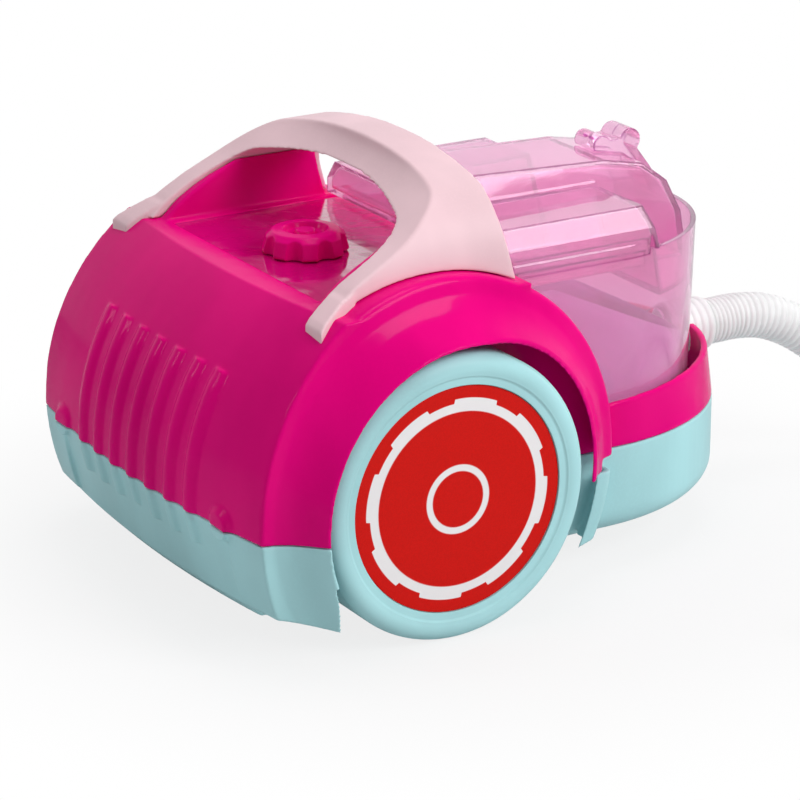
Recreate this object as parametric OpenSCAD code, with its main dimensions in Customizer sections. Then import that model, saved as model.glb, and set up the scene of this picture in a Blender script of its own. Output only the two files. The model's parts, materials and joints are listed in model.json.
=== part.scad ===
// Toy canister vacuum cleaner: a wheeled body with a lift-out dust bin, a carry handle and a ribbed hose.
// Millimetres. The modules are drawn about the wheel axle: front is -Y, up is +Z, the floor is z = 0.
// part_frame() then moves the whole to the middle of its own length.

/* [Wheels] */
// Outside diameter of a wheel
wheel_d = 117; // [104:1:122]
// Width of a wheel across its tread
wheel_w = 26; // [22:1:27]
// Width of the toy across both wheel faces
overall_w = 204; // [202:1:214]
// Width of the plain ring round the printed disc
tyre_w = 12.5; // [10:0.5:16]
// Gap between a wheel and the body's side
wheel_gap = 4; // [3:0.5:6]
// Diameter of the axle rod
axle_d = 5; // [4:0.5:7]

/* [Body] */
// Height of the seam between the tray and the shell
seam_z = 53; // [50:1:56]
// Height of the tray's underside over the floor
belly_z = 15; // [14:0.5:18]
// Distance from the axle to the start of the round nose
nose_y = 94; // [90:1:98]
// Length of the round nose
nose_len = 83; // [80:1:86]
// Distance from the axle to the rear
rear_y = 90; // [89:1:94]
// Radius of the bowed rear, seen from the side
bow_r = 97; // [90:1:110]
// Radius of the bowed rear, seen from above
bow_plan_r = 600; // [500:10:900]
// Height of the deck
deck_z = 134; // [130:1:140]
// Wall thickness of the mouldings
wall = 2.5; // [2:0.1:3]
// Height of the rim at its rear, over the seam
rim_h = 16; // [14:1:18]
// Rise of the rim's edge from its rear to the nose's tip
rim_rise = 6.5; // [2:0.5:8]
// Inward lean of the rim over its height
rim_lean = 2.5; // [1:0.1:3]

/* [Wheel arches] */
// Outer radius of the arch
arch_r = 86.5; // [84:0.5:88]
// Radius of the arch's lip beside the wheel
lip_r = 64; // [64:0.5:67]
// How far the arch's crest lies inside the wheel's face, above the axle
arch_inset = 15.5; // [14:0.5:18]
// Turn of each arch face, wider at the rear
arch_turn = 4.8; // [4:0.1:5.5]
// How far the lip flares out past the face
lip_out = 17; // [14:0.5:18]

/* [Rear face] */
// Number of flutes on the bowed rear
flute_count = 7; // [5:2:9]
// Distance between the flutes
flute_pitch = 15.3; // [12:0.1:16]
// Height of a flute over the rear
flute_h = 1.5; // [0.8:0.1:2]
// Height of the flutes' upper ends
flute_top_z = 108; // [90:1:115]

/* [Handle] */
// Height of the handle's top
handle_z = 178; // [174:1:184]
// Distance of the handle's outer faces inside the arches' crests
handle_inset = 7.5; // [5:0.5:9]
// Radius of the handle's top
handle_top_r = 258; // [220:1:320]
// Radius of the handle's shoulders
shoulder_r = 28; // [24:1:32]
// Thickness of the handle
handle_t = 10.5; // [9:0.5:12]

/* [Knob] */
// Diameter of the knob
knob_d = 35; // [30:1:38]
// Height of the knob over the deck panel
knob_h = 9.5; // [7:0.5:12]
// Distance of the knob behind the axle
knob_y = 10; // [6:1:16]
// Number of scallops round the knob
knob_lobes = 8; // [6:1:10]
// Diameter of the knob's stem
stem_d = 6; // [5:0.5:8]

/* [Dust bin] */
// Gap between the bin's rim and the body's walls
bin_gap = 3; // [2:0.5:5]
// Narrowing of the bin on each side, from rim to floor
bin_draft = 2.5; // [1:0.1:4]
// Height of the bin's underside over the floor
bin_z = 38; // [37:1:42]
// Height of the bin's rim
bin_rim_z = 132; // [128:1:134]
// Distance from the axle to the bin's rear wall
bin_rear = 46; // [45.5:0.1:48]
// Distance from the axle to the centre of the bin's round front
bin_nose_y = 99; // [96:1:100]
// Wall thickness of the bin
bin_wall = 2; // [1.5:0.1:2.5]
// Height of the ridge on the lid, at its rear
ridge_z = 160.5; // [158:0.5:164]
// Height of the lid over the bin's rim
lid_h = 17; // [14:0.5:18]
// Depth of the finger pockets below the bin's rim
pocket_depth = 20; // [12:1:24]
// Width of the latch
latch_w = 15; // [10:1:18]
// Diameter of the air port between bin and body
port_d = 30; // [24:1:34]

/* [Hose] */
// Outside diameter of the ribbed hose
hose_d = 20; // [18:1:21]
// Bore of the hose
hose_bore = 14; // [12:1:15]
// Number of ribs along the hose
rib_count = 120; // [80:1:200]
// Height of the hose's exit over the floor
exit_z = 70; // [68:1:71]
// Distance from the axle to the front of the hose collar
collar_y = 185.5; // [184:0.5:190]
// Bore of the connector at the hose's far end
socket_d = 22; // [20:0.5:24]
// Length of the connector
connector_l = 45; // [40:1:60]

/* [Caster] */
// Diameter of the caster wheel
caster_d = 11; // [10:0.5:11]
// Distance from the axle to the caster's swivel
caster_y = 128; // [120:1:132]
// Distance from the swivel back to the caster's pin
caster_trail = 7; // [5:0.5:9]

/* [Drive] */
// Diameter of the motor
motor_d = 25; // [20:1:28]
// Length of the motor
motor_l = 32; // [26:1:36]
// Diameter of the fan wheel
fan_d = 46; // [38:1:48]
// Number of fan blades
blade_count = 7; // [5:1:9]
// Height of the motor's axis over the floor
motor_z = 92; // [88:1:94]

/* [Battery box] */
// Diameter of a cell
cell_d = 14.5; // [14:0.1:14.8]
// Length of a cell
cell_l = 50.5; // [49:0.1:51]
// Number of cells side by side
cell_count = 3; // [2:1:3]
// Distance from the axle to the box's front wall
box_y = 13; // [11:1:15]

/* [Clearances] */
// Radial running clearance of a shaft in its bore
running = 0.06; // [0.02:0.01:0.1]
// Gap between pieces that sit together
seat = 0.3; // [0.2:0.05:0.5]
// Gap between pieces that move past each other
free = 0.5; // [0.4:0.1:0.8]

/* [Hidden] */
$fn = 64;

aqua = [0.65, 0.86, 0.87];
magenta = [0.90, 0.05, 0.55];
pale_pink = [0.96, 0.86, 0.88];
clear_pink = [0.88, 0.55, 0.76, 0.6];
disc_red = [0.85, 0.12, 0.10];
milky = [0.90, 0.91, 0.93];
steel = [0.72, 0.73, 0.75];
dark = [0.20, 0.20, 0.22];
brass = [0.80, 0.66, 0.35];

// Room round the model for cutting blocks
big = 400;

wheel_r = wheel_d / 2;
axle_r = axle_d / 2;
face_x = overall_w / 2;
wheel_in_x = face_x - wheel_w;
core_hw = wheel_in_x - wheel_gap;
disc_d = wheel_d - 2 * tyre_w;
front_wall_y = bin_rear - 2;
bow_z = seam_z + 3;
bow_y = rear_y - bow_r;
arch_x = face_x - arch_inset;
arch_y = -1;
arch_z = seam_z + 4;
flare_steps = 18;
belly_round = 12;
rear_lean = 8;

// The whole is moved so that its middle along Y lies on the origin
frame_y = (collar_y - rear_y - flute_h) / 2;

// Half-width of the body's sides at a distance y behind the axle
function side_x(y) = arch_x + (y - arch_y) * tan(arch_turn);

// How far the rear lies forward of its middle, at a distance x from the middle
function plan_bow(x) = bow_plan_r - sqrt(bow_plan_r * bow_plan_r - x * x);

module part_frame() {
    translate([0, frame_y, 0]) children();
}

// The children and their mirror image
module both_sides() {
    children();
    mirror([1, 0, 0]) children();
}

// A profile drawn in (y, z), run along X
module along_x(x0, x1) {
    translate([x0, 0, 0]) rotate([90, 0, 90]) linear_extrude(x1 - x0) children();
}

// A profile drawn in (x, z), run along Y
module along_y(y0, y1) {
    translate([0, y1, 0]) rotate([90, 0, 0]) linear_extrude(y1 - y0) children();
}

// A cylinder along X from x0 to x1, at the current y and z
module rod_x(r, x0, x1) {
    translate([x0, 0, 0]) rotate([0, 90, 0]) cylinder(r = r, h = x1 - x0);
}

// A cylinder along Y from y0 to y1, at the current x and z
module rod_y(r, y0, y1) {
    translate([0, y1, 0]) rotate([90, 0, 0]) cylinder(r = r, h = y1 - y0);
}

module above(z) {
    translate([-big, -big, z]) cube([2 * big, 2 * big, big]);
}

module below(z) {
    translate([-big, -big, z - big]) cube([2 * big, 2 * big, big]);
}

// A profile drawn in (y, z), bowed in plan about a far vertical axis
module bowed(sweep = 24) {
    translate([0, rear_y - bow_plan_r, 0])
        rotate([0, 0, 90 - sweep / 2])
            rotate_extrude(angle = sweep, $fn = 180)
                translate([bow_plan_r - rear_y, 0]) children();
}

// The body's tapered plan, from y0 back to y1, drawn in by gap
module side_plan(y0, y1, gap) {
    polygon([
        [-side_x(y0) + gap, y0], [side_x(y0) - gap, y0],
        [side_x(y1) - gap, y1], [-side_x(y1) + gap, y1]
    ]);
}

// Frame of the right arch: x outwards from its face, y and z from the arch's axis
module arch_frame() {
    translate([arch_x, arch_y, arch_z]) rotate([0, 0, -arch_turn]) children();
}

// The right arch as a solid drum of a radius, outside the body's core at x
module arch_drum(r, x) {
    intersection() {
        arch_frame() rod_x(r, -40, 60);
        translate([x, -big, -big]) cube([big, 2 * big, 2 * big]);
    }
}

// A point on a smooth curve through a row of points, at u from 0 to 1
function spline(a, b, c, d, t) = 0.5 * (2 * b + (c - a) * t + (2 * a - 5 * b + 4 * c - d) * t * t
    + (3 * b - a - 3 * c + d) * t * t * t);
function route_at(pts, u) = let (n = len(pts) - 1, s = min(u * n, n - 0.0001), i = floor(s))
    spline(i > 0 ? pts[i - 1] : 2 * pts[0] - pts[1], pts[i], pts[i + 1],
        i + 2 <= n ? pts[i + 2] : 2 * pts[n] - pts[n - 1], s - i);
function unit(v) = v / norm(v);

// Outline of the arch from its crest to the lip, as shares of the way in and of the way out
arch_edge = [[0, -0.17], [0.03, -0.06], [0.09, 0], [0.28, 0.07], [0.37, 0.13], [0.55, 0.3], [0.72, 0.53],
    [0.87, 0.78], [1, 1]];
function arch_point(u) = let (p = route_at(arch_edge, u)) [arch_r - (arch_r - lip_r) * p[0], lip_out * p[1]];

// The same point on the inside of the skin
function arch_inner(u) = let (d = unit(arch_point(min(1, u + 0.01)) - arch_point(max(0, u - 0.01))))
    arch_point(u) + wall * (1 - 0.4 * u) * [-d[1], d[0]];

// Section of the arch skin in (radius, x): a sleeve, a round crest, then a face that flares out to the lip
module arch_section() {
    outer = [for (i = [0 : flare_steps]) arch_point(i / flare_steps)];
    inner = [for (i = [flare_steps : -1 : 0.35 * flare_steps]) arch_inner(i / flare_steps)];
    polygon(concat([[arch_r, -30]], outer, inner, [[arch_r - wall, -1.2 * wall], [arch_r - wall, -30]]));
}

// The right arch skin all round; its lip is trimmed back towards the front
module arch_skin() {
    trim = 7;
    intersection() {
        arch_frame() difference() {
            rotate([0, 90, 0]) rotate_extrude($fn = 120) arch_section();
            translate([lip_out + 0.5, 0, 0])
                rotate([0, 0, -trim])
                    translate([0, -big, -big]) cube([big, big, 2 * big]);
        }
        translate([core_hw - wall / 2, -big, -big]) cube([big, 2 * big, 2 * big]);
        // It ends just inside the bowed rear
        bowed(40) translate([bow_y, bow_z]) circle(bow_r - seat, $fn = 180);
    }
}

// The round nose with its straight part behind, from a half section drawn in (x, z)
module nose_solid(y_back) {
    translate([0, -nose_y, 0])
        scale([1, nose_len / core_hw, 1])
            rotate([0, 0, 180]) rotate_extrude(angle = 180, $fn = 120) children();
    along_y(-nose_y, y_back) {
        children();
        mirror([1, 0]) children();
    }
}

// Half section of the tray, drawn in by gap
module tray_half(gap) {
    r = belly_round - gap;
    hw = core_hw - gap;
    z0 = belly_z + gap;
    translate([0, z0]) square([hw - r, seam_z - z0]);
    translate([0, z0 + r]) square([hw, seam_z - z0 - r]);
    translate([hw - r, z0 + r]) circle(r);
}

// Half section of the rim, drawn in by gap
module rim_half(gap) {
    top = rim_h + rim_rise;
    polygon([[0, seam_z], [core_hw - gap, seam_z], [core_hw - gap - rim_lean, seam_z + top],
        [0, seam_z + top]]);
}

// The room over the rim's edge, which rises towards the nose
module over_rim() {
    tip = nose_y + nose_len;
    along_x(-big, big) polygon([[0, seam_z + rim_h], [-front_wall_y, seam_z + rim_h],
        [-tip, seam_z + rim_h + rim_rise], [-big, seam_z + rim_h + rim_rise], [-big, big], [0, big]]);
}

// Side profile of the tray's rear, drawn in by gap
module tray_rear_profile(gap) {
    r = 6 - gap;
    y0 = rear_y - rear_lean - gap;
    polygon([[-10, belly_z + gap], [y0 - r, belly_z + gap], [y0, belly_z + gap + r],
        [rear_y - gap, seam_z], [-10, seam_z]]);
}

module tray_rear(gap) {
    intersection() {
        bowed() tray_rear_profile(gap);
        linear_extrude(big) side_plan(0, rear_y + 10, gap);
    }
}

// Side profile of the shell's rear housing, drawn in by gap, with its ceiling under the deck
module bow_profile(gap, ceiling) {
    intersection() {
        translate([bow_y, bow_z]) circle(bow_r - gap, $fn = 180);
        translate([-80, seam_z]) square([80 + rear_y + 10, ceiling - seam_z]);
    }
}

module shell_rear(gap, ceiling) {
    intersection() {
        bowed() bow_profile(gap, ceiling);
        linear_extrude(big) side_plan(-front_wall_y + gap, rear_y + 10, gap);
    }
}

// Places of the case screws: beside the core's walls, behind and ahead of the axle
screw_x = core_hw - wall - 4;
screw_ys = [66, -34];
post_r = 4.5;
screw_r = 1.5;
screw_head_r = 3;
screw_seat_z = seam_z - 10;
screw_tip_z = seam_z + 10;

module at_screws() {
    for (y = screw_ys) both_sides() translate([screw_x, y, 0]) children();
}

// One flute on the bowed rear: a shallow rounded bar that follows the bow
module flute(x) {
    half_w = 4.5;
    bar_r = (half_w * half_w + flute_h * flute_h) / (2 * flute_h);
    rise = asin((flute_top_z - bow_z) / bow_r);
    drop = asin((bow_z - seam_z) / bow_r);
    translate([x, bow_y - plan_bow(x), bow_z])
        rotate([0, 90, 0])
            rotate([0, 0, 90 - drop])
                rotate_extrude(angle = rise + drop, $fn = 120)
                    translate([bow_r + flute_h - bar_r, 0]) circle(bar_r);
}

function flute_x(i) = (i - (flute_count - 1) / 2) * flute_pitch;

// Oval fastening boss across the seam near each rear corner
module rear_boss() {
    boss_x = 68;
    face_y = rear_y - plan_bow(boss_x);
    both_sides() translate([boss_x, 0, seam_z + 1])
        rod_y(5.5, face_y - 0.95 * wall, face_y + 2.2);
}

socket_r = 8;
swivel_r = 4;
socket_top_z = belly_z + 15;
box_hx = cell_l / 2 + 2;
box_len = cell_count * (cell_d + 0.5) + 1;
box_top_z = belly_z + wall + cell_d + 2;

// The caster's swivel socket, solid or as its bore
module caster_socket(r, z0, z1) {
    translate([0, -caster_y, z0]) cylinder(r = r, h = z1 - z0);
}

module base_tray() {
    color(aqua) difference() {
        union() {
            difference() {
                union() {
                    nose_solid(20) tray_half(0);
                    difference() {
                        tray_rear(0);
                        both_sides() arch_drum(arch_r - wall, core_hw);
                    }
                    intersection() {
                        rear_boss();
                        below(seam_z);
                        above(seam_z - 7);
                    }
                    // Flutes carried on below the seam
                    for (i = [0 : flute_count - 1])
                        translate([flute_x(i), rear_y - plan_bow(flute_x(i)) - 2, seam_z - 1.6])
                            rotate([-atan(rear_lean / (seam_z - belly_z - 6)), 0, 0])
                                translate([0, 0, -11]) cylinder(r = 3.8, h = 11);
                }
                // The inside
                nose_solid(20) tray_half(wall);
                difference() {
                    tray_rear(wall);
                    both_sides() arch_drum(arch_r, core_hw - wall);
                }
                translate([-core_hw + wall, 0, belly_z + wall])
                    cube([2 * core_hw - 2 * wall, 40, big]);
            }
            // Lower halves of the arches, cut off beside the wheels' lower edges; the front one is not flared
            both_sides() intersection() {
                arch_skin();
                along_x(0, big) polygon([[10, 1], [rear_y, 26], [rear_y, seam_z], [10, seam_z]]);
            }
            both_sides() intersection() {
                arch_skin();
                along_x(0, core_hw + 8) polygon([[-40, 7], [-96, 25], [-96, seam_z - 6], [-40, seam_z - 6]]);
            }
            // Posts for the case screws
            at_screws() translate([0, 0, belly_z]) cylinder(r = post_r, h = seam_z - belly_z);
            // Caster socket
            caster_socket(socket_r, belly_z, socket_top_z);
            // Battery box
            translate([-box_hx - 2, box_y, belly_z])
                cube([2 * box_hx + 4, box_len + 4, box_top_z + 2 - belly_z]);
            // Post for the door's screw
            translate([0, box_y + box_len + 9, belly_z]) cylinder(r = post_r, h = 16);
        }
        at_screws() {
            translate([0, 0, -1]) cylinder(r = screw_head_r + seat, h = screw_seat_z + 1);
            cylinder(r = screw_r + running, h = big);
        }
        caster_socket(swivel_r + running, -1, socket_top_z + 1);
        translate([-box_hx, box_y + 2, -1]) cube([2 * box_hx, box_len, box_top_z + 1]);
        door_recess(0);
        translate([0, box_y + box_len + 9, -1]) cylinder(r = screw_r + running, h = 16 + belly_z);
    }
}

// The door lies in a shallow recess of the tray's underside and reaches over its screw's post
module door_recess(gap) {
    translate([-box_hx - 1.5 + gap, box_y + 0.5 + gap, belly_z - 1])
        cube([2 * box_hx + 3 - 2 * gap, box_len + 14 - 2 * gap, 1 + door_t]);
}

door_t = 1.5;

module battery_door() {
    color(aqua) difference() {
        union() {
            intersection() {
                door_recess(seat);
                above(belly_z);
                below(belly_z + door_t - 0.05);
            }
            // Finger ridges across the door
            for (i = [0 : 3]) translate([-10, box_y + 10 + 4 * i, belly_z - 0.6]) cube([20, 1.4, 1]);
        }
        translate([0, box_y + box_len + 9, -1]) cylinder(r = screw_r + running, h = big);
    }
}

module door_screw() {
    color(steel) translate([0, box_y + box_len + 9, 0]) {
        translate([0, 0, belly_z - 1.8]) cylinder(r = screw_head_r, h = 1.8);
        translate([0, 0, belly_z - 0.5]) cylinder(r = screw_r, h = 12);
    }
}

// Place of a cell along the box
function cell_y(i) = box_y + 2.75 + cell_d / 2 + i * (cell_d + 0.5);

module battery_cells() {
    color(brass) for (i = [0 : cell_count - 1])
        translate([0, cell_y(i), belly_z + wall + 0.2 + cell_d / 2])
            mirror([i % 2, 0, 0]) {
                rod_x(cell_d / 2, -cell_l / 2, cell_l / 2 - 1.2);
                rod_x(2.7, cell_l / 2 - 1.2, cell_l / 2);
            }
}

module battery_contacts() {
    color(steel) both_sides() for (i = [0 : cell_count - 1])
        translate([0, cell_y(i), belly_z + wall + 0.2 + cell_d / 2])
            translate([cell_l / 2 + 0.2, -5, -6]) cube([box_hx - cell_l / 2 - 0.2, 10, 12]);
}

module case_screws() {
    color(steel) at_screws() {
        translate([0, 0, screw_seat_z - 2]) cylinder(r = screw_head_r, h = 2);
        translate([0, 0, screw_seat_z - 1]) cylinder(r = screw_r, h = screw_tip_z - screw_seat_z);
    }
}

recess_back = 38;
port_r = port_d / 2;
ceiling_z = deck_z - 2 * wall;
recess_z = deck_z - wall;
axle_boss_r = 6;
cheek_t = 5;
handle_hw = arch_x - handle_inset;
cheek_x = handle_hw - handle_t - seat - cheek_t;
recess_hw = cheek_x - 3;
collar_r = hose_d / 2 + 1.8;

// Rear and front edges of the handle seen from the side: y, and the share of the way from deck to top
handle_rear = [[50.5, -0.12], [42.5, 0.04], [35.5, 0.18], [25, 0.32], [14, 0.45], [5.5, 0.565], [-2, 0.68],
    [-8, 0.77], [-13, 0.86], [-16, 0.95], [-17, 1.1]];
handle_front = [[-36, 1.1], [-35.7, 0.99], [-33.6, 0.7], [-35.5, 0.36], [-40, -0.02], [-43, -0.2]];
function handle_edge(pts, u, shift) = let (p = route_at(pts, u))
    [p[0] + shift, deck_z + (handle_z - deck_z) * p[1]];

// Side profile of the handle, drawn in by gap at its edges
module handle_profile(gap) {
    polygon(concat(
        [for (i = [0 : 24]) handle_edge(handle_rear, i / 24, -gap)],
        [for (i = [0 : 14]) handle_edge(handle_front, i / 14, gap)]));
}

// The arch of the handle seen from behind, drawn in by gap: straight legs, round shoulders, a flat arc on top
module handle_arch(gap) {
    hw = handle_hw - gap;
    reach = handle_top_r - shoulder_r;
    side = handle_hw - shoulder_r;
    top_c = handle_z - handle_top_r;
    shoulder_z = top_c + sqrt(reach * reach - side * side);
    along_y(-big / 4, big / 4) {
        translate([-hw, 0]) square([2 * hw, shoulder_z]);
        translate([side, shoulder_z]) circle(shoulder_r - gap, $fn = 120);
        translate([-side, shoulder_z]) circle(shoulder_r - gap, $fn = 120);
        intersection() {
            translate([0, top_c]) circle(handle_top_r - gap, $fn = 180);
            translate([0, top_c])
                polygon(1.5 * [[0, 0], [side, shoulder_z - top_c], [-side, shoulder_z - top_c]]);
        }
    }
}

module handle() {
    color(pale_pink) difference() {
        intersection() {
            difference() {
                handle_arch(0);
                handle_arch(handle_t);
            }
            along_x(-big, big) handle_profile(0);
        }
        // It stands on the arches and on the bowed rear
        both_sides() arch_frame() rod_x(arch_r + seat, -40, 60);
        shell_rear(-seat, deck_z + seat);
    }
}

// Inner cheek under each handle leg
module cheek() {
    intersection() {
        along_x(cheek_x, cheek_x + cheek_t) handle_profile(4);
        handle_arch(handle_t + seat);
        above(deck_z - 1);
    }
}

module upper_shell() {
    color(magenta) difference() {
        union() {
            // Rear housing
            difference() {
                union() {
                    difference() {
                        shell_rear(0, deck_z);
                        both_sides() arch_drum(arch_r - wall, core_hw);
                    }
                    for (i = [0 : flute_count - 1]) flute(flute_x(i));
                    intersection() {
                        rear_boss();
                        above(seam_z + seat);
                    }
                }
                difference() {
                    shell_rear(wall, ceiling_z);
                    both_sides() arch_drum(arch_r, core_hw - wall);
                }
                // The deck panel's recess
                translate([-recess_hw, -front_wall_y + wall, recess_z])
                    cube([2 * recess_hw, recess_back + front_wall_y - wall, big]);
            }
            // Upper halves of the arches, with a small tongue over the tray at the front
            both_sides() intersection() {
                arch_skin();
                union() {
                    above(seam_z + seat / 2);
                    translate([core_hw + seat, -80, seam_z - 5]) cube([20, 14, 20]);
                }
            }
            // Walls between the wheels and the bin
            both_sides() intersection() {
                arch_drum(arch_r, core_hw - wall);
                translate([0, -big, seam_z]) cube([core_hw, big - front_wall_y + 1, big]);
            }
            // Rim round the nose
            intersection() {
                difference() {
                    nose_solid(-front_wall_y + 1) rim_half(0);
                    nose_solid(-front_wall_y + 1) rim_half(wall);
                    over_rim();
                }
                translate([-big, -big - front_wall_y + 1, 0]) cube([2 * big, big, big]);
            }
            both_sides() cheek();
            // Bosses for the axle
            both_sides() translate([0, 0, wheel_r])
                rod_x(axle_boss_r, core_hw - wall - 8, core_hw - wall + 0.5);
            // Posts for the case screws
            at_screws() translate([0, 0, seam_z + seat]) cylinder(r = post_r, h = 14);
        }
        translate([0, 0, wheel_r]) rod_x(axle_r + running, -face_x, face_x);
        at_screws() translate([0, 0, seam_z - 1]) cylinder(r = screw_r + running, h = 13);
        translate([0, 0, motor_z]) rod_y(port_r, -front_wall_y - 1, -front_wall_y + wall + 1);
        translate([0, knob_y, ceiling_z - 1]) cylinder(r = stem_d / 2 + seat, h = 20);
        translate([0, 0, exit_z]) rod_y(collar_r + seat, -big, -nose_y);
    }
}

module deck_panel() {
    color(magenta) difference() {
        translate([-recess_hw + seat, -front_wall_y + wall + seat, recess_z])
            cube([2 * recess_hw - 2 * seat, recess_back + front_wall_y - wall - 2 * seat, wall - 0.6]);
        translate([0, knob_y, recess_z - 1]) cylinder(r = stem_d / 2 + seat, h = 20);
    }
}

knob_z = recess_z + wall - 0.6 + seat;
switch_h = 12;

module knob() {
    r = knob_d / 2;
    scallop_r = 4.2;
    color(magenta) translate([0, knob_y, 0]) {
        difference() {
            translate([0, 0, knob_z]) rotate_extrude($fn = 96)
                polygon([[0, 0], [r - 1, 0], [r, 1], [r - 1.5, knob_h - 2.5], [r - 4, knob_h - 0.5],
                    [0.52 * r, knob_h], [0.44 * r, knob_h - 2.5], [0.28 * r, knob_h - 2.5],
                    [0.22 * r, knob_h - 0.5], [0, knob_h - 0.5]]);
            for (i = [0 : knob_lobes - 1]) rotate([0, 0, i * 360 / knob_lobes])
                translate([r + 1.4, 0, knob_z - 1]) cylinder(r = scallop_r, h = knob_h + 2);
        }
        translate([0, 0, ceiling_z - switch_h + 3])
            cylinder(r = stem_d / 2, h = knob_z - ceiling_z + switch_h - 2);
    }
}

module power_switch() {
    color(dark) difference() {
        union() {
            translate([-11, knob_y - 11, ceiling_z - switch_h]) cube([22, 22, switch_h]);
            for (x = [-6, 0, 6]) translate([x - 1, knob_y - 9, ceiling_z - switch_h - 5]) cube([2, 0.8, 6]);
        }
        translate([0, knob_y, ceiling_z - switch_h + 2]) cylinder(r = stem_d / 2 + running, h = switch_h);
    }
}

bin_hw = core_hw - wall - bin_gap;
lid_front = bin_nose_y + 13;
lid_rear = bin_rear - 8.5;
lid_t = 2;
lid_z = bin_rim_z + lid_h;
pocket_z = bin_rim_z - pocket_depth;
pocket_slope = 10;
ridge_base_hw = 0.37 * bin_hw;
ridge_top_hw = 0.3 * bin_hw;
ridge_wall = 2;
ridge_tip = bin_nose_y + bin_hw - 6.5;

// Half-width of the bin at a height
function bin_x(z) = bin_hw - bin_draft * (bin_rim_z - z) / (bin_rim_z - bin_z);

// The bin's outline between two heights, drawn in by gap
module bin_solid(z0, z1, gap) {
    half = [[0, z0], [bin_x(z0) - gap, z0], [bin_x(z1) - gap, z1], [0, z1]];
    translate([0, -bin_nose_y, 0]) rotate([0, 0, 180]) rotate_extrude(angle = 180, $fn = 120) polygon(half);
    along_y(-bin_nose_y, -bin_rear - gap) {
        polygon(half);
        mirror([1, 0]) polygon(half);
    }
}

module bin_cup() {
    color(clear_pink) difference() {
        bin_solid(bin_z, bin_rim_z, 0);
        bin_solid(bin_z + bin_wall, bin_rim_z + 1, bin_wall);
        // The rim is lower where the lid lies on it
        translate([-big, -lid_front, bin_rim_z - lid_t]) cube([2 * big, big, big]);
        translate([0, 0, motor_z]) rod_y(port_r - 3, -bin_rear - bin_wall - 1, 0);
        translate([0, 0, exit_z]) rod_y(hose_d / 2, -big, -bin_nose_y);
    }
}

// Side profile of the lid's ridge, drawn in by gap
module ridge_profile(gap) {
    back = -lid_rear - lid_t - gap;
    tip = -ridge_tip + gap;
    polygon([[back, pocket_z], [back, ridge_z - gap], [tip + 40, ridge_z - 3 - gap],
        [tip + 22 - 0.6 * gap, ridge_z - 6.5 - gap], [tip + 11, ridge_z - 15], [tip + 3.5, ridge_z - 29],
        [tip, pocket_z]]);
}

// The ridge: slanted sides, run along the lid; drawn in by gap
module ridge(gap, z0) {
    intersection() {
        along_x(-big, big) ridge_profile(gap);
        along_y(-big, 0) {
            half = [[0, z0], [ridge_base_hw - gap, z0], [ridge_base_hw - gap, lid_z],
                [ridge_top_hw + 1.5 - gap, ridge_z - 3], [ridge_top_hw - gap, ridge_z], [0, ridge_z]];
            polygon(half);
            mirror([1, 0]) polygon(half);
        }
        bin_solid(z0 - 1, ridge_z + 1, bin_wall + seat);
    }
}

// Section of the raised lid seen from behind, from z0 up, drawn in by gap
module lid_section(gap, z0) {
    half = [[0, z0], [bin_hw - 0.5 - gap, z0], [bin_hw - 1 - gap, lid_z - 8], [bin_hw - 7 - gap, lid_z - gap],
        [0, lid_z - gap]];
    polygon(half);
    mirror([1, 0]) polygon(half);
}

module bin_lid() {
    over_deck = deck_z + seat;
    foot = bin_rim_z - lid_t;
    color(clear_pink) difference() {
        union() {
            difference() {
                union() {
                    // Foot on the cup's rim, and the raised lid that reaches back over the deck
                    intersection() {
                        bin_solid(foot, bin_rim_z + lid_t + 1, 0);
                        translate([-big, -lid_front, 0]) cube([2 * big, lid_front - bin_rear, big]);
                    }
                    along_y(-lid_front, -lid_rear) lid_section(0, over_deck);
                }
                // The inside
                along_y(-lid_front - 1, -lid_rear - lid_t) lid_section(lid_t, over_deck + lid_t);
                along_y(-lid_front - 1, -bin_rear - lid_t)
                    translate([-bin_hw + 2 * lid_t, foot - 1]) square([2 * bin_hw - 4 * lid_t, lid_h / 2]);
            }
            // Rear wall of the finger pockets and their floor
            intersection() {
                union() {
                    bin_solid(pocket_z - 3, bin_rim_z, bin_wall + seat);
                    along_y(-lid_front - pocket_slope, -lid_front + lid_t + 1) lid_section(0, bin_rim_z);
                }
                along_x(-big, big) polygon([[-lid_front + lid_t, lid_z],
                    [-lid_front - pocket_slope + lid_t, pocket_z - lid_t], [-big, pocket_z - lid_t],
                    [-big, pocket_z], [-lid_front - pocket_slope, pocket_z], [-lid_front, lid_z]]);
            }
            ridge(0, pocket_z - 1);
            // Lip that holds the lid inside the cup
            intersection() {
                difference() {
                    bin_solid(bin_rim_z - 7, bin_rim_z - 1, bin_wall + 2 * seat);
                    bin_solid(bin_rim_z - 8, bin_rim_z, 2 * bin_wall + 2 * seat);
                }
                translate([-big, -lid_front + 1, 0]) cube([2 * big, big, big]);
            }
        }
        // The ridge is open below
        difference() {
            ridge(ridge_wall, pocket_z - 10);
            translate([-big, -bin_rear - lid_t, 0]) cube([2 * big, big, lid_z - lid_t]);
        }
    }
}

// The latch lies on the ridge: two finger rolls, then an arm down the front
module bin_latch() {
    top = seat + 0.1;
    tip = -ridge_tip;
    color(clear_pink) difference() {
        along_x(-latch_w / 2, latch_w / 2) {
            translate([tip + 32, ridge_z - 1.5]) circle(4.2);
            translate([tip + 18, ridge_z - 1.2]) circle(5.2);
            polygon([[tip + 32, ridge_z - 10], [tip + 32, ridge_z + 0.5], [tip + 18, ridge_z],
                [tip + 8, ridge_z - 13], [tip, ridge_z - 24.5], [tip, ridge_z - 27.5],
                [tip + 8, ridge_z - 24], [tip + 22, ridge_z - 12]]);
        }
        along_x(-big, big) translate([0, top]) ridge_profile(0);
    }
}

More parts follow.
